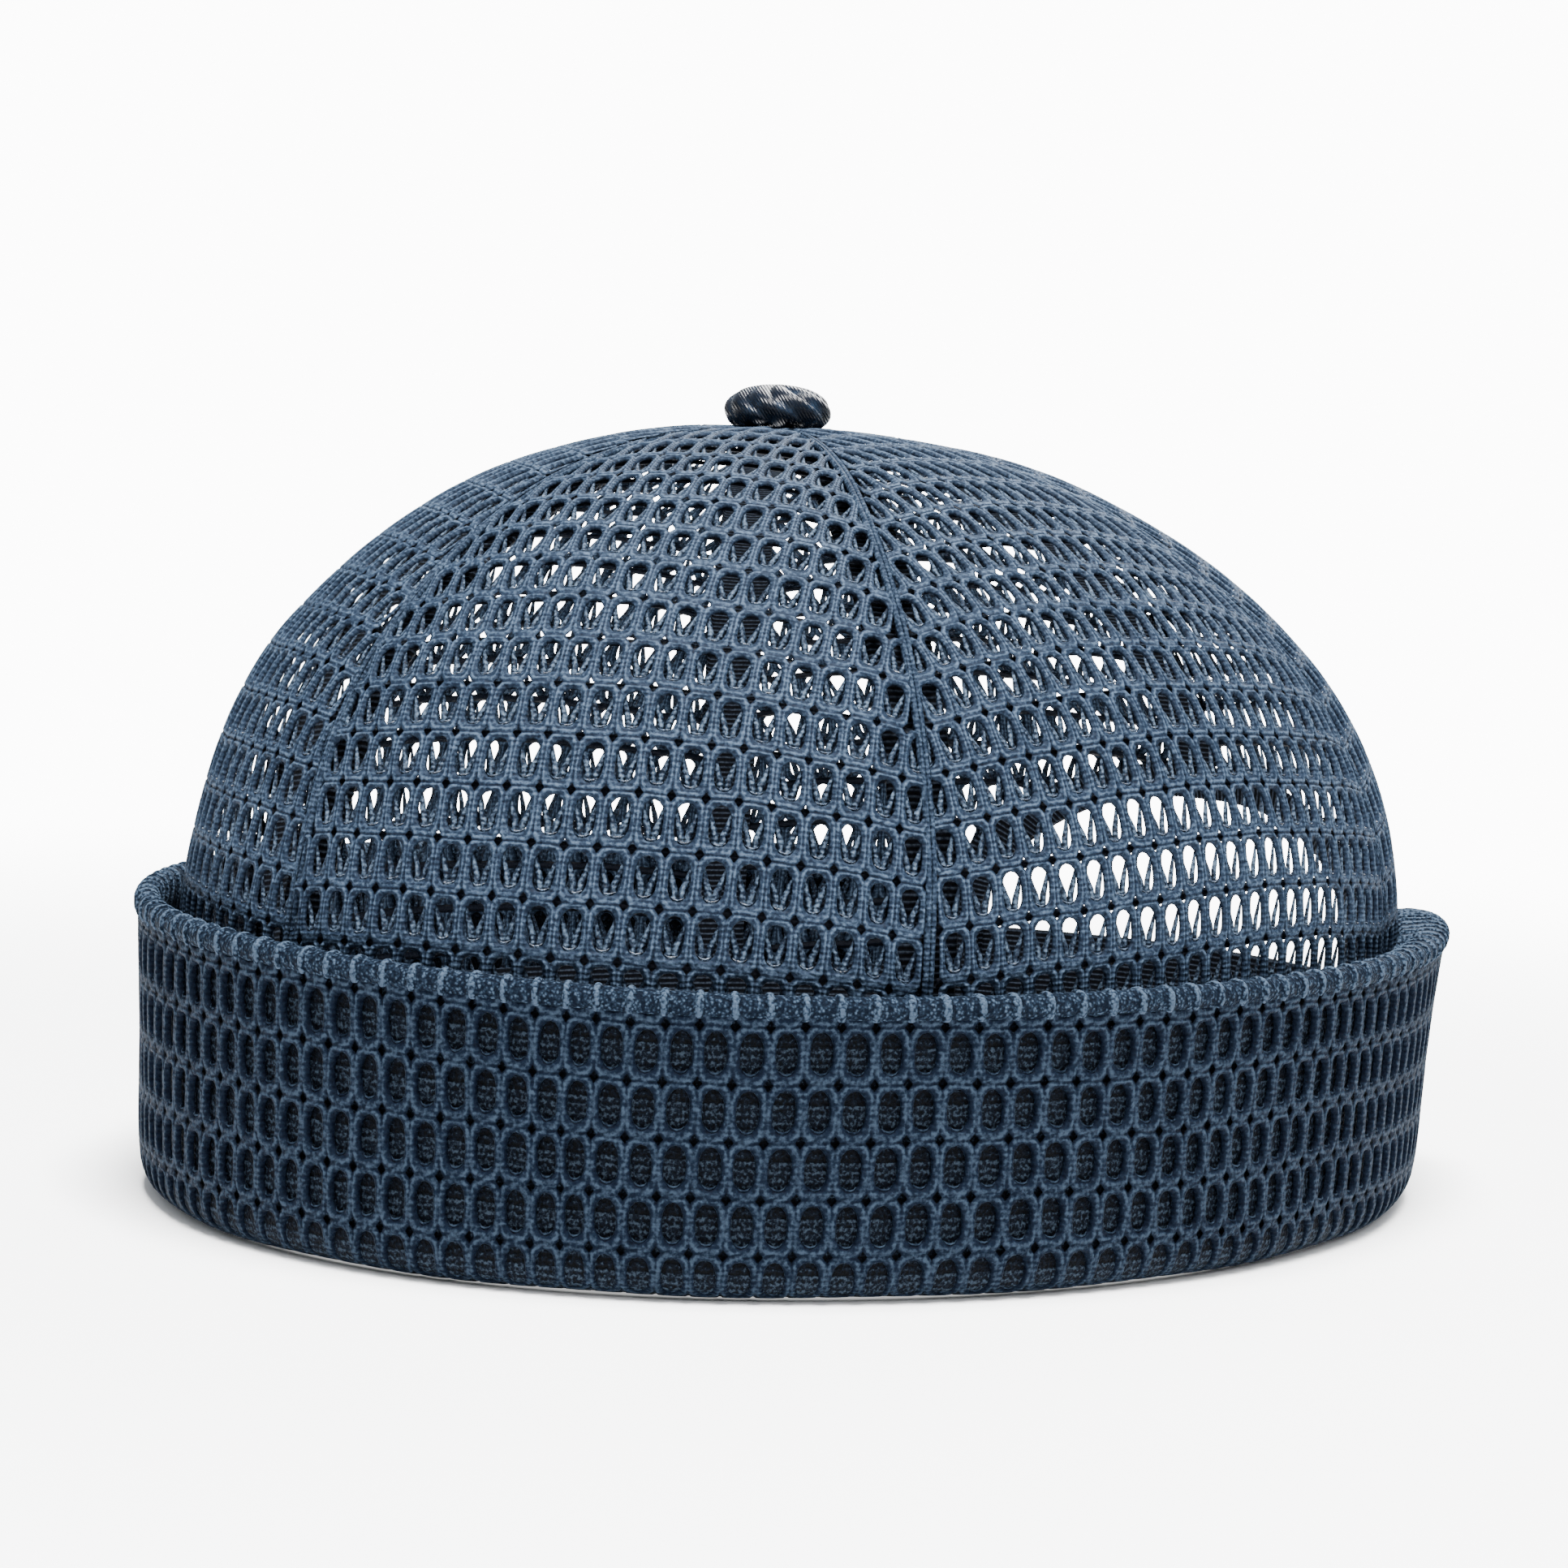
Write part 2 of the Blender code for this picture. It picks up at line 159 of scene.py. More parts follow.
def knit_cell(sections):
    """One cell of the cloth laid flat, in millimetres from its middle: points across, up and
    out, four-sided faces, the yarn that each face belongs to, and how deep in the cloth each
    point lies, from 0 at the back to 1 on top, as a shade depth that the finishes turn into
    painted shade, darker deeper in."""
    w, h = HALF_CELL * 1000
    edge = [(w, 0.0), (w, 1.5), (w, h - EYELET_HALF_HEIGHT), (w - EYELET_HALF_WIDTH, h), (0.0, h)]
    head = [(1.50, 0.0), (1.44, 1.34), (1.20, 2.14), (0.70, 2.74), (0.0, 2.98)]
    foot = [(1.50, 0.0), (1.42, 1.26), (1.12, 1.98), (0.62, 2.46), (0.0, 2.64)]
    spread = [1.0, 1.0, 1.0, 1.0, 1.5]
    upper, lower = list(zip(edge, head, spread)), list(zip(edge, foot, spread))
    around = upper[:4]
    around += [((-x, y), (-s, t), c) for (x, y), (s, t), c in reversed(upper[1:])]
    around += [((-x, -y), (-s, -t), c) for (x, y), (s, t), c in lower[:4]]
    around += [((x, -y), (s, -t), c) for (x, y), (s, t), c in reversed(lower[1:])]
    outer, inner = (np.array([at[k] for at in around]) for k in (0, 1))
    spread = np.array([at[2] for at in around])
    on_rib = np.array([1, 1, 0, 0, 1, 0, 0, 1, 1, 1, 0, 0, 1, 0, 0, 1], bool)
    points, shade_depth = [], []
    for share, rib_out, rib_shade, eye_out, eye_shade in sections:
        flat = outer + (inner - outer) * (share ** (1 / spread))[:, None]
        for (x, y), rib in zip(flat, on_rib):
            points.append((x, y, rib_out if rib else eye_out))
            shade_depth.append(rib_shade if rib else eye_shade)
    faces = ring_faces(len(sections), len(around), capped=False).tolist()
    yarns = [FACE] * len(faces)

    def yarn(route, radii, flatness, deep, kind, level):
        """A yarn through points (across, up, out), with a four-sided section that stands across
        the cell for an upright yarn and up it for a level one."""
        start = len(points)
        for (x, y, z), r in zip(route, radii):
            for c, s in ((1, 0), (0, 1), (-1, 0), (0, -1)):
                across, up = (0, r * c) if level else (r * c, 0)
                points.append((x + across, y + up, z + r * flatness * s))
                # Painted shade: a yarn's outer side gets more shade depth than its inner side, so it
                # is painted lighter on top and darker underneath.
                shade_depth.append(deep + 0.22 * s)
        for i in range(len(route) - 1):
            for side in range(4):
                a, b = start + i * 4 + side, start + i * 4 + (side + 1) % 4
                faces.append((a, a + 4, b + 4, b))
                yarns.append(kind)

    for side in (-1, 1):
        leg = [(1.54, 2.3, -0.70), (1.06, 0.3, -0.90), (0.66, -0.8, -0.94)]
        leg += [(0.44, -2.0, -0.90), (0.34, -3.0, -0.80)]
        thickness = [0.16, 0.46, 0.54, 0.52, 0.40]
        yarn([(side * x, y, z) for x, y, z in leg], thickness, 0.60, 0.52, SPACER, level=False)
    bow = [(-0.90, -1.96, -0.72), (-0.54, -2.28, -0.40), (0.0, -2.40, -0.30)]
    bow += [(-x, y, z) for x, y, z in reversed(bow[:2])]
    yarn(bow, [0.07, 0.12, 0.15, 0.12, 0.07], 1.0, 0.60, LOOP, level=True)
    # The bar behind the eyelets gets a shade depth below 0, so it is painted near black as painted
    # shade.
    bar = [(-w, h, -1.25), (0.0, h + 0.1, -1.35), (w, h, -1.25)]
    yarn(bar, [0.66, 0.62, 0.66], 0.45, -1.00, SPACER, level=True)
    return np.array(points) / 1000, np.array(faces), np.array(yarns), np.array(shade_depth)


def knit_cloth(columns, rows, keep, first_row, sections):
    """A flat stretch of cloth, column 0 in the middle and the first row's foot at a height.
    keep says which cell middles stay. Returns points across, up and out, faces, yarns and
    depths."""
    cell, cell_faces, cell_yarns, cell_shade_depth = knit_cell(sections)
    i, j = (g.ravel() for g in np.meshgrid(np.arange(-columns, columns + 1), np.arange(rows)))
    across, up = i * CELL_WIDTH, first_row + (j + 0.5) * CELL_HEIGHT
    kept = keep(across, up)
    across, up = across[kept], up[kept]
    places = np.stack([across, up, np.zeros_like(up)], -1)
    points = (places[:, None] + cell[None]).reshape(-1, 3)
    faces = cell_faces[None] + (np.arange(len(places)) * len(cell))[:, None, None]
    _, first, same = np.unique(
        np.round(points * 1e7).astype(np.int64), axis=0, return_index=True, return_inverse=True
    )
    faces = same.reshape(-1)[faces.reshape(-1, 4)]
    shade_depth = np.tile(cell_shade_depth, len(places))[first]
    return points[first], faces, np.tile(cell_yarns, len(places)), shade_depth


ACROSS_WANDER, ACROSS_JITTER = 0.00016, 0.00007
UP_WANDER, UP_JITTER = 0.00020, 0.00008
OUT_WANDER = 0.00010


def loosen(flat, seed):
    """Hand-made unevenness: the cloth's columns and rows wander a little."""
    u, v = flat[:, 0] / CELL_WIDTH, flat[:, 1] / CELL_HEIGHT
    out = flat.copy()
    out[:, 0] += ACROSS_WANDER * np.sin(0.9 * v + 0.31 * u + seed)
    out[:, 0] += ACROSS_JITTER * np.sin(2.3 * u + 1.7 * v)
    out[:, 1] += UP_WANDER * np.sin(0.43 * u + 0.6 * v + 2 * seed)
    out[:, 1] += UP_JITTER * np.sin(1.9 * u - seed)
    out[:, 2] += OUT_WANDER * np.sin(0.7 * u + 1.1 * v + 3 * seed)
    return out


def knit_piece(name, points, faces, yarns, shade_depth, flat, finishes):
    """A mesh object of the cloth, with its flat coordinates in cells as its UV map."""
    a, b, c, d = (points[faces[:, k]] for k in range(4))
    good = np.linalg.norm(np.cross(c - a, d - b), axis=1) > SMALLEST_FACE
    faces, yarns = faces[good], yarns[good]
    used, faces = np.unique(faces, return_inverse=True)
    faces = faces.reshape(-1, 4)
    points, shade_depth, flat = points[used], shade_depth[used], flat[used]
    mesh = bpy.data.meshes.new(name)
    mesh.vertices.add(len(points))
    mesh.vertices.foreach_set("co", points.astype(np.float32).ravel())
    mesh.loops.add(faces.size)
    mesh.loops.foreach_set("vertex_index", faces.astype(np.int32).ravel())
    mesh.polygons.add(len(faces))
    mesh.polygons.foreach_set("loop_start", np.arange(0, faces.size, 4, dtype=np.int32))
    mesh.polygons.foreach_set("material_index", yarns.astype(np.int32))
    mesh.polygons.foreach_set("use_smooth", np.ones(len(faces), bool))
    uv = mesh.uv_layers.new(name="cells")
    cells = flat[faces.ravel()][:, :2] / (CELL_WIDTH, CELL_HEIGHT)
    uv.data.foreach_set("uv", cells.astype(np.float32).ravel())
    # Each point's shade depth, which the finishes turn into painted shade.
    deep = mesh.attributes.new("shade_depth", "FLOAT", "POINT")
    deep.data.foreach_set("value", shade_depth.astype(np.float32))
    mesh.update()
    mesh.validate()
    piece = bpy.data.objects.new(name, mesh)
    bpy.context.scene.collection.objects.link(piece)
    for finish in finishes:
        mesh.materials.append(finish)
    return piece


def finish_nodes(name, roughness, specular):
    """A new material, and what makes its nodes, sums, wires and its coloured, raised surface."""
    finish = bpy.data.materials.new(name)
    finish.use_nodes = True
    tree = finish.node_tree
    shader = tree.nodes["Principled BSDF"]
    shader.inputs["Roughness"].default_value = roughness
    shader.inputs["Specular IOR Level"].default_value = specular
    wire = tree.links.new

    def node(kind, **values):
        made = tree.nodes.new("ShaderNode" + kind)
        for key, value in values.items():
            label = key.replace("_", " ")
            if label in made.inputs:
                made.inputs[label].default_value = value
            else:
                setattr(made, key, value)
        return made

    body = node("TexCoord").outputs["Object"]

    def sum_of(value, times, more):
        """One output times a number, plus another output."""
        made = node("Math", operation="MULTIPLY_ADD")
        wire(value, made.inputs[0])
        made.inputs[1].default_value = times
        wire(more, made.inputs[2])
        return made.outputs[0]

    def surface(tone, stops, height, strength, distance):
        """Colour by a tone through (place, colour) stops, and bumps by a height."""
        colour = node("ValToRGB")
        for k, (place, shade) in enumerate(stops):
            stop = colour.color_ramp.elements[k] if k < 2 else colour.color_ramp.elements.new(place)
            stop.position, stop.color = place, (*shade, 1)
        wire(tone, colour.inputs["Fac"])
        wire(colour.outputs["Color"], shader.inputs["Base Color"])
        bump = node("Bump", Strength=strength, Distance=distance)
        wire(height, bump.inputs["Height"])
        wire(bump.outputs["Normal"], shader.inputs["Normal"])

    def texture(kind, place=body, **values):
        """A texture laid by an output that gives places, or else by places on the object."""
        made = node("Tex" + kind, **values)
        wire(place, made.inputs["Vector"])
        return made

    return finish, node, wire, sum_of, texture, surface


def yarn_finish(name, dark, middle, light, roughness, stitch_up, speckle, specular):
    """Twisted polyester yarn, painted lighter on top and darker down its sides and deeper in by
    its shade depth, as painted shade, with fine stitch loops across it and loose fibre colour."""
    finish, node, wire, sum_of, texture, surface = finish_nodes(name, roughness, specular)
    place = node("UVMap", uv_map="cells")
    stretch = node("Mapping", Scale=(1.2, stitch_up, 1.0))
    wire(place.outputs["UV"], stretch.inputs["Vector"])
    wave = {"Scale": 1.0, "Distortion": 2.2, "Detail": 2.0, "Detail_Scale": 1.6}
    loops = texture("Wave", stretch.outputs["Vector"], bands_direction="Y", **wave)
    fibre = texture("Noise", Scale=1700.0, Detail=4.0)
    patch = texture("Noise", Scale=160.0, Detail=2.0)
    shade_depth = node("Attribute", attribute_name="shade_depth")
    tone = sum_of(fibre.outputs["Fac"], speckle, shade_depth.outputs["Fac"])
    tone = sum_of(loops.outputs["Fac"], 0.20, tone)
    tone = sum_of(patch.outputs["Fac"], 0.34, tone)
    fit = node("MapRange", From_Min=0.12 + speckle / 2, From_Max=1.42 + speckle / 2)
    wire(tone, fit.inputs["Value"])
    raised = sum_of(loops.outputs["Fac"], 0.35, fibre.outputs["Fac"])
    stops = [(0.0, dark), (1.0, light), (0.5, middle)]
    surface(fit.outputs["Result"], stops, raised, 0.80, 0.00030)
    return finish


face_yarn = yarn_finish(
    "knit_face_yarn",
    dark=(0.0008, 0.0024, 0.0064),
    middle=(0.0062, 0.0116, 0.0218),
    light=(0.0380, 0.0570, 0.0860),
    roughness=0.66,
    stitch_up=3.1,
    speckle=2.0,
    specular=0.05,
)
spacer_yarn = yarn_finish(
    "knit_spacer_yarn",
    dark=(0.0006, 0.0016, 0.0042),
    middle=(0.0056, 0.0104, 0.0196),
    light=(0.0440, 0.0640, 0.0920),
    roughness=0.55,
    stitch_up=3.5,
    speckle=3.8,
    specular=0.07,
)
loop_yarn = yarn_finish(
    "knit_loop_yarn",
    dark=(0.0005, 0.0020, 0.0062),
    middle=(0.0044, 0.0096, 0.0200),
    light=(0.0480, 0.0700, 0.1040),
    roughness=0.26,
    stitch_up=3.5,
    speckle=2.2,
    specular=0.40,
)
KNIT_FINISHES = (face_yarn, spacer_yarn, loop_yarn)


def knit_layers(name, node_name, points, faces, yarns, shade_depth, flat, finishes=KNIT_FINISHES):
    """The two layers of a stretch of the cloth, in place of a solid node: its face net, and the
    spacer yarns with their loops behind it."""
    layers = []
    for layer, kinds in (("net", yarns == FACE), ("spacers", yarns != FACE)):
        piece = knit_piece(
            f"{name}_{layer}", points, faces[kinds], yarns[kinds], shade_depth, flat, finishes
        )
        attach(piece, "root")
        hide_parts(node_name)
        layers.append(piece)
    return layers


# Back opening: a half-moon cut from the two back panels, flat along the strap. A ribbed tape is
# sewn round it inside as a binding and turned over the net's cut edge as a narrow edging. The
# binding and the seam tapes are strips of the same grosgrain.
OPENING_HALF_WIDTH, OPENING_TOP, OPENING_SPRING = 0.0420, 0.0572, 0.0310
OPENING_SQUARENESS = 2.1
BINDING_WIDTH, BINDING_FOOT, BINDING_FOOT_SHARE = 0.0062, 0.0223, 0.09
EDGING_WIDTH, EDGING_THICK, EDGING_LAP = 0.0030, 0.0006, 0.0004
TAPE_FACE, TAPE_THICK = -0.0025, 0.0010
TAPE_RIB, TAPE_RELIEF = 0.00095, 0.00011
POINTS_A_RIB, LENGTHWISE_STEP = 4, 0.0040


def tape_finish():
    """Grosgrain tape: a dark navy weave whose rib crests are painted pale and grooves dark by the
    shade depth, as painted light and shade.
    """
    finish, node, wire, sum_of, texture, surface = finish_nodes("navy_ribbed_tape", 0.75, 0.05)
    weave = texture("Noise", Scale=1900.0, Detail=3.0)
    shade_depth = node("Attribute", attribute_name="shade_depth")
    fit = node("MapRange", From_Max=1.45)
    wire(sum_of(weave.outputs["Fac"], 0.7, shade_depth.outputs["Fac"]), fit.inputs["Value"])
    stops = [
        (0.30, (0.0005, 0.0006, 0.0009)),
        (0.95, (0.0300, 0.0390, 0.0540)),
        (0.70, (0.0032, 0.0048, 0.0084)),
    ]
    surface(fit.outputs["Result"], stops, weave.outputs["Fac"], 0.6, 0.0002)
    return finish


ribbed_tape = tape_finish()


def run_along(points):
    """How far along a line of points each of them lies."""
    return np.concatenate(([0], np.cumsum(np.linalg.norm(np.diff(points, axis=0), axis=1))))


def tape_piece(name, node_name, lay, face, thickness, width, lengthwise=False):
    """A closed strip of ribbed tape in place of a solid node, and its length. lay takes a share
    of the length, a place across from -1 to 1 and a distance out. Ribs run across or lengthwise."""
    shares = np.linspace(0, 1, 601)
    middle = lay(shares, shares * 0, shares * 0 + face)
    run = run_along(middle)
    if lengthwise:
        along = np.linspace(0, run[-1], int(run[-1] / LENGTHWISE_STEP))
        across = np.linspace(-1, 1, int(width / TAPE_RIB * POINTS_A_RIB) + 1)
    else:
        along = np.linspace(0, run[-1], int(run[-1] / TAPE_RIB * POINTS_A_RIB))
        across = np.array([-1.0, -0.92, 0.0, 0.92, 1.0])
    edge = np.where(np.abs(across) == 1, 0.4, 0.0) * thickness
    level = np.concatenate([face - edge, (face - thickness + edge)[::-1]])
    side = np.repeat([1.0, -1.0], len(across))
    across = np.concatenate([across, across[::-1]])
    down_tape = np.repeat(along[:, None], len(across), 1)
    over_tape = np.repeat(across[None] * width / 2, len(along), 0)
    rib = np.cos(2 * np.pi * (over_tape if lengthwise else down_tape) / TAPE_RIB)
    share = np.repeat(np.interp(along, run, shares)[:, None], len(across), 1)
    points = lay(share, np.repeat(across[None], len(along), 0), level + side * TAPE_RELIEF * rib)
    faces = ring_faces(*share.shape, capped=True)
    flat = np.stack([over_tape.ravel(), down_tape.ravel()], -1)
    # Shade depth from the ribs: crests painted paler, as painted light, and grooves darker, as
    # painted shade.
    parts = (faces, np.zeros(len(faces), int), (rib.ravel() + 1) / 2, flat)
    piece = knit_piece(name, points.reshape(-1, 3), *parts, (ribbed_tape,))
    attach(piece, "root")
    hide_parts(node_name)
    return piece, float(run[-1])


def lay_binding(share, across, out):
    """The binding's way round the opening: up one side, over the arch and down the other."""
    foot = BINDING_FOOT_SHARE
    angle = np.pi * np.clip((share - foot) / (1 - 2 * foot), 0, 1)
    beyond = np.clip(np.maximum(foot - share, share - 1 + foot) / foot, 0, 1)
    wider = BINDING_WIDTH * (across + 1) / 2
    power = 2 / OPENING_SQUARENESS
    x = np.sign(np.cos(angle)) * np.abs(np.cos(angle)) ** power * (OPENING_HALF_WIDTH + wider)
    z = OPENING_SPRING + (OPENING_TOP + wider - OPENING_SPRING) * np.sin(angle) ** power
    z = z - (OPENING_SPRING - BINDING_FOOT) * beyond
    place = place_of_height(z)
    width = dome_share(1, place) * dome_half_width
    return on_dome(np.pi - np.arcsin(x / width), place, out)


binding, _ = tape_piece(
    "opening_binding_tape", "opening_binding", lay_binding, TAPE_FACE, TAPE_THICK, BINDING_WIDTH
)


def lay_edging(share, across, out):
    """The same tape turned over the cut edge, as a narrow edging outside."""
    shown = -EDGING_LAP + EDGING_WIDTH * (across + 1) / 2
    return lay_binding(share, shown / BINDING_WIDTH * 2 - 1, out)


edging, _ = tape_piece(
    "opening_edging", "opening_binding", lay_edging, EDGING_THICK, EDGING_THICK, EDGING_WIDTH
)


def clear_of_opening(turn, place):
    """Moves places of the back panels that lie in the opening out to its edge."""
    at = dome_skin(turn, place)
    x, z = at[:, 0], at[:, 2]
    a, b = OPENING_HALF_WIDTH, OPENING_TOP - OPENING_SPRING
    across, up = np.abs(x) / a, np.maximum(z - OPENING_SPRING, 0) / b
    reach = (across**OPENING_SQUARENESS + up**OPENING_SQUARENESS) ** (1 / OPENING_SQUARENESS)
    inside = (reach < 1) & (at[:, 1] > 0)
    grow = 1 / np.maximum(reach, 1e-3)
    side = np.where(x < 0, -1.0, 1.0)
    new_x = np.where(z > OPENING_SPRING, side * np.minimum(np.abs(x) * grow, a), side * a)
    new_z = np.where(z > OPENING_SPRING, OPENING_SPRING + up * b * grow, z)
    new_place = place_of_height(new_z)
    width = dome_share(1, new_place) * dome_half_width
    new_turn = np.pi - np.arcsin(np.clip(new_x / width, -1, 1))
    return np.where(inside, new_turn, turn), np.where(inside, new_place, place), inside


# Crown panels: six gores of the spacer knit, cut to a point at the top and sewn edge to edge.
# Each one's columns run up its middle and its rows bow down towards the seams, so the net is
# cut off slantwise there, where a narrow turned edge is stitched down.
SEAM_EDGE = 0.00060
EDGE_SECTION = (  # turned edge, in millimetres in from the seam and out from the cloth's face
    (0.80, -0.50),
    (0.60, -0.14),
    (0.34, -0.06),
    (0.10, -0.14),
    (0.03, -0.46),
    (0.10, -1.10),
    (0.80, -1.10),
)
# The turned edge's shade depth: one middling value, so the edge is painted a little darker than the
# net's crests, as painted shade beside the seam.
EDGE_SHADE = 0.60
CROWN_PULL = 1.02
CLOTH_HEIGHT = 0.084  # how far up the cloth its bow and its drawing together are given
BOW_AT_FOOT, MORE_BOW = 1.1, 1.9
WIDER_AT_FOOT, DRAWN_TOGETHER = 1.005, 0.05
WIDE_PLACE, TIP_GAP = 3.0, 0.15  # places on the dome: where panels are widest, and left off its top
BACK_PANELS = (2, 3)
PANELS = (  # solid node, sixth of the way round from the front, cloth's shift across and up, tilt
    ("crown_panel_front_left", 0, -0.0016, 0.0003, -0.020),
    ("crown_panel_side_left", 1, 0.0004, 0.0022, 0.020),
    ("crown_panel_back_left", 2, -0.0010, 0.0034, 0.010),
    ("crown_panel_back_right", 3, 0.0008, 0.0050, -0.020),
    ("crown_panel_side_right", 4, 0.0000, 0.0038, 0.015),
    ("crown_panel_front_right", 5, -0.0005, 0.0018, 0.030),
)
panel_foot = place_of_height(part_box("crown_panel_front_left")[0].z)


def bow_down(across, up, tilt):
    """Cloth places to places on the dome: the rows' tilt and their bow towards the seams, and
    the columns' drawing together higher up."""
    higher = (up / CLOTH_HEIGHT) ** 3
    bow = BOW_AT_FOOT + MORE_BOW * higher
    return across * (WIDER_AT_FOOT - DRAWN_TOGETHER * higher), up + tilt * across - bow * across**2


def panel_cut(number):
    """How a panel's flat cloth is laid on the dome: its half width and length at each place,
    and a function from flat points to the dome."""
    turns = np.linspace(number, number + 1, 241) * np.pi / 3
    ring = dome_skin(turns, np.full_like(turns, WIDE_PLACE))
    along = run_along(ring)
    share_across = along / along[-1] * 2 - 1
    middle = np.interp(0, share_across, turns)
    places = np.linspace(panel_foot, TOP_PLACE - TIP_GAP, 500)
    spine = dome_skin(np.full_like(places, middle), places)
    up = run_along(spine)
    half = along[-1] / 2 * dome_share(1, places) / dome_share(1, np.array(WIDE_PLACE))

    def lay(flat, edge):
        """Flat points (across, up, out) onto the dome, none nearer to a seam than the edge."""
        place = np.interp(flat[:, 1], up, places)
        wide = np.interp(flat[:, 1], up, half)
        most = np.maximum(wide - edge, wide * 0.35) / wide
        turn = np.interp(np.clip(flat[:, 0] / wide, -most, most), share_across, turns)
        return turn, place

    return up, half, lay


def turned_edge(number, lay, up, half, side):
    """The narrow turned edge beside a seam: a closed flat tube up the side of a panel."""
    section = np.array(EDGE_SECTION) / 1000
    heights = np.linspace(up[0], up[-1], 90)
    wide = np.interp(heights, up, half)
    gone = np.zeros(len(heights), bool)
    rings = []
    for inward, out in section:
        across = side * (wide - np.minimum(inward, wide * 0.6))
        turn, place = lay(np.stack([across, heights], -1), 0.0)
        if number in BACK_PANELS:
            gone |= clear_of_opening(turn, place)[2]
        rings.append(on_dome(turn, place, out))
    points = np.stack(rings, 1)
    n, m = points.shape[:2]
    faces = ring_faces(n, m, capped=False).reshape(n - 1, m, 4)
    faces = faces[~gone[:-1] & ~gone[1:]].reshape(-1, 4)
    flat = np.stack([np.tile(section[:, 0] * 2, n), np.repeat(heights, m)], -1)
    return points.reshape(-1, 3), faces if side > 0 else faces[:, ::-1], flat


for node_name, number, shift_across, shift_up, tilt in PANELS:
    up, half, lay = panel_cut(number)
    rows = int(up[-1] / CELL_HEIGHT) + 5

    def drape(flat):
        """Flat cloth onto the dome, kept inside the seams and clear of the back opening."""
        across, rise = bow_down(flat[:, 0], flat[:, 1], tilt)
        rise = np.clip(rise, 0, up[-1])
        turn, place = lay(np.stack([across, rise], -1), SEAM_EDGE)
        inside = np.zeros(len(turn), bool)
        if number in BACK_PANELS:
            turn, place, inside = clear_of_opening(turn, place)
        return turn, place, inside

    def keep(across, rise):
        """The cells whose middle lies on the panel, or near enough for a part of a cell."""
        across, rise = across + shift_across, rise * CROWN_PULL + shift_up
        gone = drape(np.stack([across, rise], -1))[2]
        moved, level = bow_down(across, rise, tilt)
        wide = np.interp(level, up, half)
        slack = 0.45 * CELL_HEIGHT
        return (np.abs(moved) < wide + 0.1 * CELL_WIDTH) & (-slack < level) & (level < up[-1]) & ~gone

    flat, faces, yarns, shade_depth = knit_cloth(12, rows, keep, -2 * CELL_HEIGHT, RING_SECTIONS)
    moved = loosen(flat, number + 1.0)
    moved[:, 0] += shift_across
    moved[:, 1] = moved[:, 1] * CROWN_PULL + shift_up
    turn, place, _ = drape(moved)
    points = on_dome(turn, place, moved[:, 2])
    for side in (-1, 1):
        edge_points, edge_faces, edge_flat = turned_edge(number, lay, up, half, side)
        faces = np.concatenate([faces, edge_faces + len(points)])
        yarns = np.concatenate([yarns, np.full(len(edge_faces), FACE)])
        shade_depth = np.concatenate([shade_depth, np.full(len(edge_points), EDGE_SHADE)])
        points = np.concatenate([points, edge_points])
        flat = np.concatenate([flat[:, :2], edge_flat])
    net, _ = knit_layers(node_name, node_name, points, faces, yarns, shade_depth, flat)


# Seam tapes: strips of the same ribbed tape sewn inside over the six seams, which narrow towards
# the top. The back one ends above the opening.
TAPE_WIDTH, TAPE_TOP_WIDTH, TAPE_TOP_RADIUS = 0.0100, 0.0048, 0.0105
TAPES = (  # solid node, sixth of the way round from the front, height of its foot
    ("seam_tape_front", 0, 0.0223),
    ("seam_tape_front_left", 1, 0.0223),
    ("seam_tape_back_left", 2, 0.0223),
    ("seam_tape_back", 3, 0.0637),
    ("seam_tape_back_right", 4, 0.0223),
    ("seam_tape_front_right", 5, 0.0223),
)
wide_enough = dome_share(1, place_steps) * dome_half_width > TAPE_TOP_RADIUS
tape_top = place_steps[np.flatnonzero(wide_enough)[-1]]


def tape_half_width(place):
    radius = dome_share(1, place) * dome_half_width
    return np.minimum(TAPE_WIDTH, TAPE_TOP_WIDTH * radius / TAPE_TOP_RADIUS) / 2


for node_name, number, foot in TAPES:
    tape_foot = place_of_height(foot)

    def lay_tape(share, across, out):
        """Up a seam from the tape's foot, and across it by turns that keep its width."""
        place = tape_foot + (tape_top - tape_foot) * share
        seam = np.full_like(place, number * np.pi / 3)
        ahead = np.linalg.norm(dome_skin(seam + 0.01, place) - dome_skin(seam - 0.01, place), axis=-1)
        return on_dome(seam + across * tape_half_width(place) * 0.02 / ahead, place, out)

    tape, length = tape_piece(
        f"{node_name}_strip", node_name, lay_tape, TAPE_FACE, TAPE_THICK, TAPE_WIDTH
    )


# Head band: a plain band of the ribbed cloth inside the joint of crown and cuff, its ribs running
# round the head. It ends where the cuff does, beside the strap.
BAND_BOTTOM, BAND_TOP, BAND_FACE = 0.0050, 0.0220, -0.0028
BAND_END = np.radians(149.0)


def lay_band(share, across, out):
    height = (BAND_BOTTOM + BAND_TOP) / 2 + across * (BAND_TOP - BAND_BOTTOM) / 2
    return on_dome(BAND_END * (2 * share - 1), place_of_height(height), out)


head_band, length = tape_piece(
    "head_band_strip", "head_band", lay_band, BAND_FACE, TAPE_THICK, BAND_TOP - BAND_BOTTOM, True
)


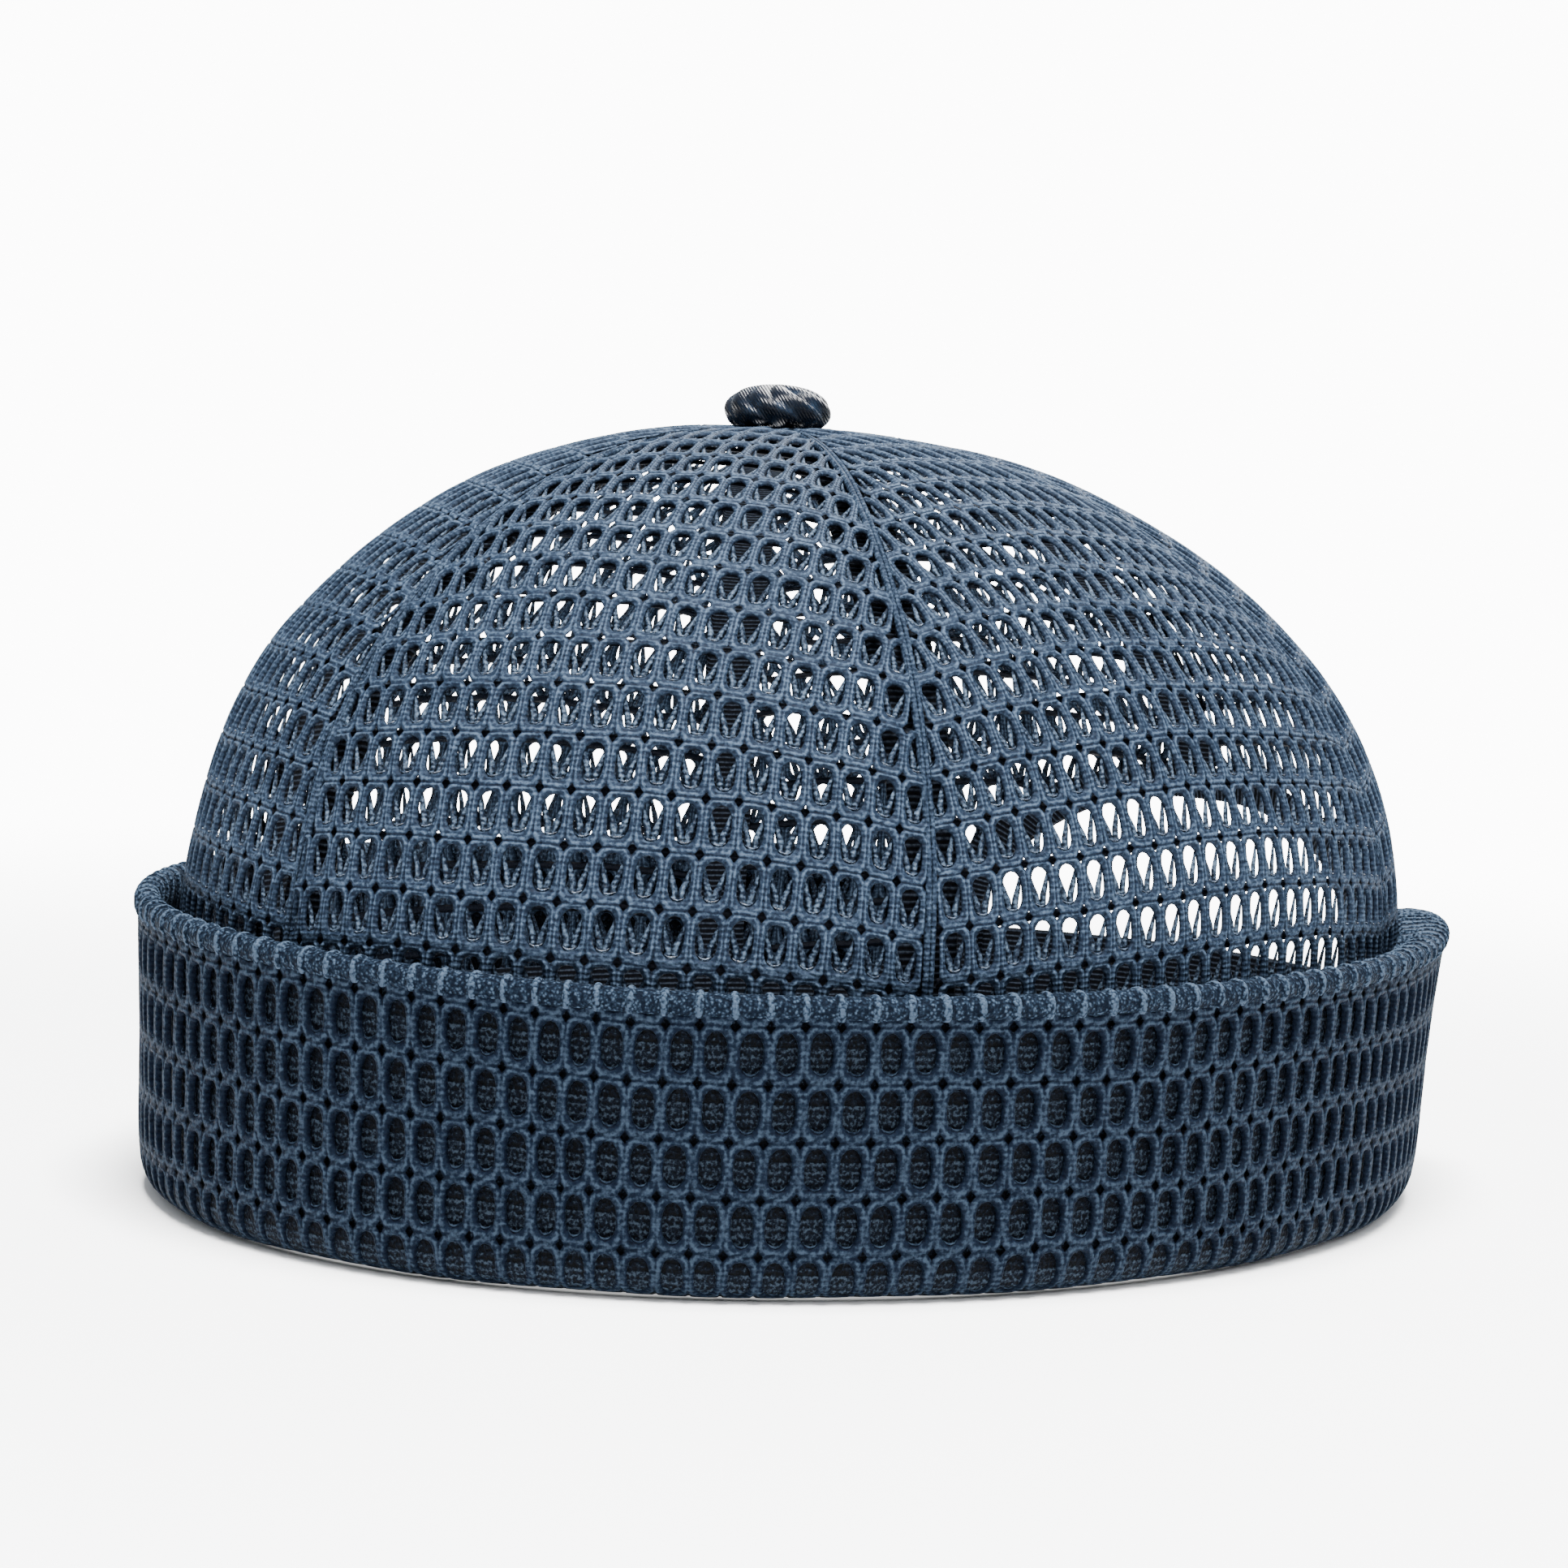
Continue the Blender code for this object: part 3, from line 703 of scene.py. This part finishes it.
# Cuff net: a deep band of the same knit, turned up outside the crown from a rounded fold that
# the cap stands on. Its rows run level round the cap, from the rolled rim down under the fold.
CUFF_PATH = (  # distance out from the crown and height, in metres, from the rim's foot down
    (0.00648, 0.0410),
    (0.00630, 0.0320),
    (0.00605, 0.0220),
    (0.00588, 0.0120),
    (0.00564, 0.0066),
    (0.00500, 0.0030),
    (0.00360, 0.0009),
    (0.00145, 0.0001),
    (-0.00060, 0.0001),
    (-0.00155, 0.0014),
    (-0.00198, 0.0045),
    (-0.00200, 0.0085),
)
RIM_SECTIONS = (  # turn in degrees, rim height as a share of its usual height, flare in metres
    (-149.0, 0.965, 0.0022),
    (-135.0, 0.990, 0.0014),
    (-110.0, 1.000, 0.0006),
    (-75.0, 1.030, 0.0001),
    (-40.0, 1.035, 0.0000),
    (0.0, 1.005, 0.0000),
    (44.0, 0.960, 0.0000),
    (80.0, 0.970, 0.0002),
    (115.0, 0.990, 0.0010),
    (137.0, 1.010, 0.0022),
    (149.0, 0.985, 0.0030),
)
RIM_HEIGHT = 0.0430
CUFF_END = np.radians(149.0)


def curve_through(points, steps):
    """A smooth curve through points, as many steps to each stretch."""
    p = np.array(points)
    p = np.concatenate(([2 * p[0] - p[1]], p, [2 * p[-1] - p[-2]]))
    f = np.linspace(0, 1, steps, endpoint=False)[:, None]
    return np.concatenate([*(curved(*p[k : k + 4], f) for k in range(len(p) - 3)), p[-2:-1]])


def line_normal(line):
    """Unit normals along a line of (out, height) points, to the left of its way."""
    slope = np.gradient(line, axis=0)
    normal = np.stack([-slope[:, 1], slope[:, 0]], -1)
    return normal / np.linalg.norm(normal, axis=1, keepdims=True)


rim_curve = curve_through(RIM_SECTIONS, 12)


def rim_height(turn):
    return np.interp(np.degrees(turn), rim_curve[:, 0], rim_curve[:, 1]) * RIM_HEIGHT


def base_ring(turn, out, height):
    """Points out from the foot of the crown, straight up."""
    width, length = dome_half_width, dome_half_length
    normal = np.stack([length * np.sin(turn), -width * np.cos(turn)], -1)
    normal /= np.linalg.norm(normal, axis=-1, keepdims=True)
    at = np.stack([width * np.sin(turn), dome_middle - length * np.cos(turn)], -1)
    return np.concatenate([at + normal * out[..., None], height[..., None]], -1)


def on_cuff(turn, out, height):
    """Points on the cuff. Height is for a rim at its usual height, and the cuff stretches and
    leans out with the real one."""
    share = np.clip(height / RIM_HEIGHT, 0, None)
    flare = np.interp(np.degrees(turn), rim_curve[:, 0], rim_curve[:, 2])
    lean = np.where(out > 0.0016, flare * share**2, 0)
    return base_ring(turn, out + lean, height * rim_height(turn) / RIM_HEIGHT)


cuff_turns = np.linspace(-CUFF_END, CUFF_END, 1441)
cuff_ring = on_cuff(cuff_turns, np.full_like(cuff_turns, 0.006), np.full_like(cuff_turns, 0.02))
cuff_around = run_along(cuff_ring)
cuff_around -= cuff_around[-1] / 2
half_around = cuff_around[-1]
CUFF_EASE = (  # how far round the cuff from its front, and how far the cloth is eased along there
    (-half_around, 0.0),
    (0.0100, 0.0000),
    (0.0580, -0.0019),
    (0.0960, -0.0008),
    (0.1400, 0.0033),
    (0.2000, 0.0033),
    (half_around, 0.0),
)
ease_curve = curve_through(CUFF_EASE, 12)
cuff_around = cuff_around - np.interp(cuff_around, ease_curve[:, 0], ease_curve[:, 1])
cuff_path = curve_through(CUFF_PATH, 16)
cuff_down = run_along(cuff_path)
path_normal = line_normal(cuff_path)


def down_cuff(turn, down, away, lowest):
    """Points a way down the cuff's path and a distance away from it, none below a height."""
    at = [np.interp(down, cuff_down, cuff_path[:, k]) for k in (0, 1)]
    normal = [np.interp(down, cuff_down, path_normal[:, k]) for k in (0, 1)]
    return on_cuff(turn, at[0] + away * normal[0], np.maximum(at[1] + away * normal[1], lowest))


def lay_on_cuff(flat):
    """Flat cloth onto the cuff: across is round the cap, and up is up the outer wall."""
    down = np.clip(cuff_down[-1] - flat[:, 1], 0, cuff_down[-1])
    return down_cuff(np.interp(flat[:, 0], cuff_around, cuff_turns), down, flat[:, 2], -RIM_HEIGHT)


cuff_length = cuff_down[-1]
CUFF_PULL = 1.080
CUFF_TOP_ROW, CUFF_NET_SUNK = 0.0023, 0.00015
CUFF_RING_SECTIONS = (  # as in the crown's cells, but with the two yarns of a rib run together
    (0.00, -0.04, 0.66, -0.30, 0.20),
    (0.38, 0.00, 0.80, -0.02, 1.00),
    (0.74, -0.04, 0.52, -0.14, 0.44),
    (1.00, -0.22, 0.24, -0.30, 0.24),
    (1.08, -0.90, 0.00, -0.90, 0.00),
)
cuff_rows = int(cuff_length / (CELL_HEIGHT * CUFF_PULL)) + 1
# The cuff's yarn: the crown's knit with its colours at about half, painted darker as painted shade on
# the upright cuff.
shaded_cuff_yarn = yarn_finish(
    "knit_cuff_yarn_painted_shade",
    dark=(0.0004, 0.0013, 0.0038),
    middle=(0.0022, 0.0048, 0.0102),
    light=(0.0186, 0.0286, 0.0434),
    roughness=0.70,
    stitch_up=3.1,
    speckle=2.0,
    specular=0.03,
)
flat, faces, yarns, shade_depth = knit_cloth(
    int(half_around / CELL_WIDTH) + 1,
    cuff_rows + 1,
    lambda across, height: np.abs(across) < half_around,
    -cuff_rows * CELL_HEIGHT,
    CUFF_RING_SECTIONS,
)
over_lining = yarns != SPACER
faces, yarns = faces[over_lining], yarns[over_lining]
moved = loosen(flat, 9.0)
moved[:, 2] -= CUFF_NET_SUNK
moved[:, 1] = cuff_length - CUFF_TOP_ROW + moved[:, 1] * CUFF_PULL
points = lay_on_cuff(moved)
cuff_net, _ = knit_layers(
    "cuff", "cuff", points, faces, yarns, shade_depth, flat, (shaded_cuff_yarn, shaded_cuff_yarn, shaded_cuff_yarn)
)

# Cuff lining, rolled rim and end tapes: behind the net the cuff is a second, closer layer of the
# same cloth, coloured far darker than the net as painted shade, so it shows dark in the gaps. Its
# top edge is rolled over into a soft rib-crossed rim, and each of its two ends, beside the back
# opening, is bound with the ribbed tape.
ROLL_PATH = (  # distance out and height below the rim, from the net's top over to the inside
    (0.00610, 0.0032),
    (0.00655, 0.0024),
    (0.00655, 0.0011),
    (0.00590, 0.0002),
    (0.00480, 0.0000),
    (0.00375, 0.0005),
    (0.00330, 0.0019),
    (0.00350, 0.0040),
    (0.00400, 0.0064),
)
LINING_DEPTH, LINING_DEPTH_AT_FOLD, LINING_THICK = 0.0018, 0.0007, 0.0004
LADDER_LINES = 7
ROLL_THICK, RIB_REACH, RIB_LIFT = 0.0009, 0.00055, 0.00034


def close_knit_finish():
    """Close knit behind the net, coloured far darker than the net's yarn as painted shade: dark
    lines across the upper half of each cell and a speckled tongue of stitches in the lower half."""
    finish, node, wire, sum_of, texture, surface = finish_nodes("close_knit_lining_painted_shade", 0.70, 0.04)
    place = node("UVMap", uv_map="cells")
    split = node("SeparateXYZ")
    wire(place.outputs["UV"], split.inputs["Vector"])
    up_cell = node("Math", operation="FRACT")
    wire(split.outputs["Y"], up_cell.inputs[0])
    tongue = node("MapRange", From_Min=0.62, From_Max=0.40)
    wire(up_cell.outputs[0], tongue.inputs["Value"])
    pitch = node("Math", operation="MULTIPLY")
    pitch.inputs[1].default_value = 2 * np.pi * LADDER_LINES
    wire(split.outputs["Y"], pitch.inputs[0])
    ladder = node("Math", operation="SINE")
    wire(pitch.outputs[0], ladder.inputs[0])
    speck = texture("Noise", Scale=2300.0, Detail=2.5)
    tone = sum_of(ladder.outputs[0], 0.5, tongue.outputs["Result"])
    tone = sum_of(tone, 0.13, speck.outputs["Fac"])
    stops = [
        (0.42, (0.0003, 0.0006, 0.0011)),
        (0.82, (0.0170, 0.0250, 0.0360)),
        (0.62, (0.0012, 0.0026, 0.0054)),
    ]
    surface(tone, stops, tone, 0.7, 0.0004)
    return finish


def band_around(name, section, turns, ribs, finishes, drawn_in, first_row):
    """A closed band round the cap from a closed section of (out, height, rib share) points.
    Ribs stand out where the rib share is not 0, and it is widened inwards as drawn_in says.
    The first row is how far up the section a row of the cloth begins."""
    count, n = len(section), len(turns)
    across = np.interp(turns, cuff_turns, cuff_around)
    from_rib = np.abs((across / CELL_WIDTH) % 1 - 0.5) * CELL_WIDTH
    comb = np.sqrt(np.clip(1 - (from_rib / RIB_REACH) ** 2, 0, 1))
    widest = section[:, 0].max()
    rings = []
    for out, height, rib, nx, nz in section:
        lift = ribs * rib * comb
        z = np.full(n, height) + lift * nz
        rings.append(on_cuff(turns, widest - (widest - out) * drawn_in + lift * nx, z))
    faces = ring_faces(n, count, capped=True)
    along = run_along(section[:, :2])
    flat = np.stack([np.repeat(across, count), np.tile((along - first_row) / CUFF_PULL, n)], -1)
    # Shade depth: the rib crests on the roll's top side are painted lighter, as painted light, and
    # the rest darker, as painted shade.
    shade_depth = np.repeat(comb, count) * np.tile(section[:, 2], n)
    parts = (faces, np.zeros(len(faces), int), shade_depth, flat)
    return knit_piece(name, np.stack(rings, 1).reshape(-1, 3), *parts, finishes)


def closed_section(outer, thickness, rib_shares):
    """A closed section from its outer line of (out, height), and the line a thickness inside."""
    line = np.array(outer)
    normal = line_normal(line)
    inner = line - normal * thickness
    top = np.column_stack([line, rib_shares, normal])
    back = np.column_stack([inner, np.zeros(len(line)), normal])[::-1]
    return np.concatenate([top, back])


def rolled_knit_finish():
    """The cloth bunched up in the roll: speckled loops of light and dark between the ribs, and the
    rib crests painted lighter by the shade depth, as painted light.
    """
    finish, node, wire, sum_of, texture, surface = finish_nodes("rolled_knit", 0.72, 0.03)
    grain = texture("Voronoi", Scale=2100.0)
    speck = texture("Noise", Scale=1900.0, Detail=3.0)
    place = node("UVMap", uv_map="cells")
    slant = node("Mapping", Rotation=(0, 0, np.radians(20)))
    wire(place.outputs["UV"], slant.inputs["Vector"])
    wave = {"Scale": 0.95, "Distortion": 1.5, "Detail": 1.0}
    strands = texture("Wave", slant.outputs["Vector"], bands_direction="X", **wave)
    shade_depth = node("Attribute", attribute_name="shade_depth")
    tone = sum_of(strands.outputs["Fac"], 0.16, speck.outputs["Fac"])
    tone = sum_of(grain.outputs["Distance"], -0.75, tone)
    tone = sum_of(shade_depth.outputs["Fac"], 0.36, tone)
    stops = [
        (0.06, (0.0012, 0.0030, 0.0066)),
        (0.58, (0.0330, 0.0490, 0.0730)),
        (0.30, (0.0058, 0.0108, 0.0192)),
    ]
    surface(tone, stops, tone, 0.8, 0.0005)
    return finish


roll_knit = rolled_knit_finish()
roll_line = curve_through(ROLL_PATH, 3)
roll_line[:, 1] = RIM_HEIGHT - roll_line[:, 1]
roll_line = roll_line[::-1]
rib_shares = np.interp(np.arange(len(roll_line)), [0, 4, 9, len(roll_line) - 1], [0, 1, 1, 1])
rib_number = np.arange(np.ceil(cuff_around[0] / CELL_WIDTH), cuff_around[-1] / CELL_WIDTH - 1)
beside_rib = np.array([-0.5, -0.31, -0.125, -0.10, -0.05, 0.0, 0.05, 0.10, 0.125, 0.31])
rib_places = (rib_number[:, None] + 0.5 + beside_rib).ravel() * CELL_WIDTH
roll_turns = np.interp(rib_places, cuff_around, cuff_turns)
roll_turns = np.concatenate([[-CUFF_END], roll_turns, [CUFF_END]])
roll_drawn_in = np.interp(np.degrees(np.abs(roll_turns)), (108, 134), (1.0, 1.95))
rim_roll = band_around(
    "cuff_rim_roll",
    closed_section(roll_line, ROLL_THICK, rib_shares),
    roll_turns,
    RIB_LIFT,
    (roll_knit,),
    roll_drawn_in,
    0.0,
)
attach(rim_roll, "root")
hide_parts("cuff")

shaded_close_knit = close_knit_finish()
lining_depth = np.interp(cuff_path[::6, 1], (0.0, 0.0080), (LINING_DEPTH_AT_FOLD, LINING_DEPTH))
lining_line = (cuff_path[::6] - path_normal[::6] * lining_depth[:, None])[::-1]
lining_length = run_along(lining_line)[-1]
lining = band_around(
    "cuff_lining",
    closed_section(lining_line, LINING_THICK, np.zeros(len(lining_line))),
    np.linspace(-CUFF_END, CUFF_END, 280),
    0.0,
    (shaded_close_knit,),
    1.0,
    lining_length - CUFF_TOP_ROW,
)
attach(lining, "root")
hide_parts("cuff")

END_TAPE_WIDTH, END_TAPE_THICK, END_TAPE_FACE = 0.0030, 0.0030, 0.0004
END_TAPE_IN, STANDING_GAP = 0.004, 0.0001
for side, side_name in ((1, "left"), (-1, "right")):

    def lay_cuff_end(share, across, out):
        """Down the end of the cuff's cloth, from the roll round the fold to the inner edge."""
        down = END_TAPE_FACE + share * (cuff_down[-1] - END_TAPE_FACE)
        turn = side * (CUFF_END - END_TAPE_IN) + across * END_TAPE_WIDTH / 2 / dome_half_length
        return down_cuff(turn, down, out, STANDING_GAP)

    tape_sizes = (END_TAPE_FACE, END_TAPE_THICK, END_TAPE_WIDTH)
    end_tape, _ = tape_piece(f"cuff_end_tape_{side_name}", "cuff", lay_cuff_end, *tape_sizes)


# Back strap: a plain band of doubled ribbed knit across the foot of the opening, its ends tucked
# between crown and cuff.
STRAP_BOTTOM, STRAP_TOP, STRAP_FACE, STRAP_THICK = 0.0042, 0.0295, 0.0026, 0.0022
STRAP_HALF_TURN = np.radians(42.0)
strap_width = STRAP_TOP - STRAP_BOTTOM


def lay_strap(share, across, out):
    turn = np.pi + STRAP_HALF_TURN * (2 * share - 1)
    height = (STRAP_BOTTOM + STRAP_TOP) / 2 + across * strap_width / 2
    return base_ring(turn, out, height)


strap, length = tape_piece(
    "back_strap_band", "back_strap", lay_strap, STRAP_FACE, STRAP_THICK, strap_width, True
)


# Top button: a metal shank button covered in glossy navy cloth, which is gathered in twisted
# pleats over its dome and tucked under its edge.
BUTTON_PLEATS, BUTTON_TWIST, PLEAT_DEPTH = 9, 9.0, 0.00060
BUTTON_OUTLINE = (  # share of the radius and of the height
    (0.62, -0.20),
    (0.84, -0.10),
    (0.96, 0.05),
    (1.00, 0.28),
    (0.96, 0.50),
    (0.84, 0.70),
    (0.64, 0.86),
    (0.40, 0.95),
    (0.18, 0.99),
    (0.02, 1.00),
)


def button_finish():
    """Glossy coated navy cloth with a fine twill and pale catches of light on its pleats."""
    finish, node, _, _, texture, surface = finish_nodes("glossy_navy_cloth", 0.24, 0.11)
    wave = {"Scale": 900.0, "Distortion": 1.0, "Detail": 1.5}
    twill = texture("Wave", bands_direction="DIAGONAL", **wave)
    blotch = texture("Noise", Scale=420.0, Detail=3.0)
    stops = [
        (0.32, (0.0006, 0.0012, 0.0030)),
        (0.80, (0.0100, 0.0180, 0.0320)),
        (0.55, (0.0018, 0.0038, 0.0080)),
    ]
    surface(blotch.outputs["Fac"], stops, twill.outputs["Fac"], 0.35, 0.0002)
    return finish


button_middle = (button_low + button_high) / 2
button_radius = (button_high.x - button_low.x) / 2
button_height = button_high.z - button_low.z
outline = curve_through(BUTTON_OUTLINE, 5)
turns = np.linspace(0, 2 * np.pi, 132, endpoint=False)
points = []
for k, (reach, lift) in enumerate(outline):
    twist = turns * BUTTON_PLEATS + BUTTON_TWIST * lift
    fold = np.abs(np.sin(twist / 2)) ** 0.7
    fade = np.clip(reach * 1.6, 0, 1) * np.clip(k / 6, 0, 1)
    r = button_radius * reach - PLEAT_DEPTH * (1 - fold) * fade * 0.8
    z = button_low.z + button_height * lift - PLEAT_DEPTH * (1 - fold) * fade
    points.append(np.stack([r * np.sin(turns), button_middle.y - r * np.cos(turns), z], -1))
points = np.concatenate(points)
faces = ring_faces(len(outline), len(turns), capped=False)
button_parts = (faces, np.zeros(len(faces), int), np.ones(len(points)), points[:, :2])
button = knit_piece("covered_button", points, *button_parts, (button_finish(),))
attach(button, "root")
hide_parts("top_button")


# Pale studio floor, wide and plain, that fades into the white backdrop away from the cap.
floor_mesh = bpy.data.meshes.new("studio_floor")
FLOOR_REACH, FLOOR_HEIGHT = 4.0, -0.0002
corners = [(x * FLOOR_REACH, y * FLOOR_REACH, FLOOR_HEIGHT) for x in (-1, 1) for y in (-1, 1)]
floor_mesh.from_pydata(corners, [], [(0, 2, 3, 1)])
floor = bpy.data.objects.new("studio_floor", floor_mesh)
bpy.context.scene.collection.objects.link(floor)
floor_finish = bpy.data.materials.new("pale_floor")
floor_finish.use_nodes = True
floor_tree = floor_finish.node_tree
floor_shader = floor_tree.nodes["Principled BSDF"]
floor_shader.inputs["Base Color"].default_value = (0.92, 0.92, 0.92, 1)
floor_shader.inputs["Roughness"].default_value = 0.9
BACKDROP_STRENGTH = 12.0
backdrop_glow = floor_tree.nodes.new("ShaderNodeEmission")
backdrop_glow.inputs["Strength"].default_value = BACKDROP_STRENGTH
spot = floor_tree.nodes.new("ShaderNodeTexCoord")
reach = floor_tree.nodes.new("ShaderNodeVectorMath")
reach.operation = "LENGTH"
fade = floor_tree.nodes.new("ShaderNodeMapRange")
fade.interpolation_type = "SMOOTHSTEP"
fade.inputs["From Min"].default_value = 0.16
fade.inputs["From Max"].default_value = 0.60
seen = floor_tree.nodes.new("ShaderNodeLightPath")
share = floor_tree.nodes.new("ShaderNodeMath")
share.operation = "MULTIPLY"
blend = floor_tree.nodes.new("ShaderNodeMixShader")
for start, end in (
    (spot.outputs["Object"], reach.inputs[0]),
    (reach.outputs["Value"], fade.inputs["Value"]),
    (fade.outputs["Result"], share.inputs[0]),
    (seen.outputs["Is Camera Ray"], share.inputs[1]),
    (share.outputs[0], blend.inputs["Fac"]),
    (floor_shader.outputs["BSDF"], blend.inputs[1]),
    (backdrop_glow.outputs["Emission"], blend.inputs[2]),
    (blend.outputs["Shader"], floor_tree.nodes["Material Output"].inputs["Surface"]),
):
    floor_tree.links.new(start, end)
floor_mesh.materials.append(floor_finish)


# Soft studio light: a white surround, a large key light overhead, a weaker fill and back light,
# and a faint light inside the cap for what the white surround sends through the net.
world = bpy.data.worlds.new("studio")
bpy.context.scene.world = world
world.use_nodes = True
world_tree = world.node_tree
surround = world_tree.nodes["Background"]
surround.inputs["Color"].default_value = (0.90, 0.95, 1.0, 1)
surround.inputs["Strength"].default_value = 0.75
backdrop = world_tree.nodes.new("ShaderNodeBackground")
backdrop.inputs["Color"].default_value = (1.0, 1.0, 1.0, 1)
backdrop.inputs["Strength"].default_value = BACKDROP_STRENGTH
rays = world_tree.nodes.new("ShaderNodeLightPath")
either = world_tree.nodes.new("ShaderNodeMixShader")
for start, end in (
    (rays.outputs["Is Camera Ray"], either.inputs["Fac"]),
    (surround.outputs["Background"], either.inputs[1]),
    (backdrop.outputs["Background"], either.inputs[2]),
    (either.outputs["Shader"], world_tree.nodes["World Output"].inputs["Surface"]),
):
    world_tree.links.new(start, end)


def soft_light(name, place, size, power):
    """A square area light that faces the cap."""
    lamp = bpy.data.lights.new(name, "AREA")
    lamp.size = size
    lamp.energy = power
    light = bpy.data.objects.new(name, lamp)
    light.location = place
    aim = Vector((0, 0, 0.05)) - Vector(place)
    light.rotation_euler = aim.to_track_quat("-Z", "Y").to_euler()
    bpy.context.scene.collection.objects.link(light)


soft_light("key_light", (0.22, -0.15, 1.30), 0.6, 130)
soft_light("fill_light", (1.1, -0.6, 0.9), 0.9, 10)
soft_light("back_light", (-0.5, 1.0, 0.8), 0.8, 26)
glow = bpy.data.lights.new("light_through_the_net", "POINT")
glow.energy = 0.4
glow.shadow_soft_size = 0.03
inside = bpy.data.objects.new("light_through_the_net", glow)
inside.location = (0, 0, 0.055)
bpy.context.scene.collection.objects.link(inside)


# Camera: low and close, three-quarters from the front, rolled a little as the photo is.
CAMERA_AZIMUTH, CAMERA_ELEVATION, CAMERA_ROLL = np.radians((44.46, 8.36, 2.52))
CAMERA_DISTANCE = 0.5796
AIM_HEIGHT = 0.022
PHOTO_SIZE = 1932
PIXELS_PER_METRE = 7889
AIM_PIXEL = (973.0, 1275.3)
azimuth, elevation = CAMERA_AZIMUTH, CAMERA_ELEVATION
back = Vector(
    (np.sin(azimuth) * np.cos(elevation), -np.cos(azimuth) * np.cos(elevation), np.sin(elevation))
)
right = Vector((np.cos(azimuth), np.sin(azimuth), 0))
upward = back.cross(right)
rolled_right = right * np.cos(CAMERA_ROLL) + upward * np.sin(CAMERA_ROLL)
rolled_up = upward * np.cos(CAMERA_ROLL) - right * np.sin(CAMERA_ROLL)
camera_data = bpy.data.cameras.new("camera")
camera_data.sensor_width = 36.0
camera_data.lens = 36.0 * PIXELS_PER_METRE * CAMERA_DISTANCE / PHOTO_SIZE
camera_data.shift_x = (PHOTO_SIZE / 2 - AIM_PIXEL[0]) / PHOTO_SIZE
camera_data.shift_y = (AIM_PIXEL[1] - PHOTO_SIZE / 2) / PHOTO_SIZE
camera_data.clip_start = 0.01
camera = bpy.data.objects.new("camera", camera_data)
camera.matrix_world = Matrix.Translation(
    Vector((0, 0, AIM_HEIGHT)) + back * CAMERA_DISTANCE
) @ Matrix((rolled_right, rolled_up, back)).transposed().to_4x4()
bpy.context.scene.collection.objects.link(camera)
bpy.context.scene.camera = camera
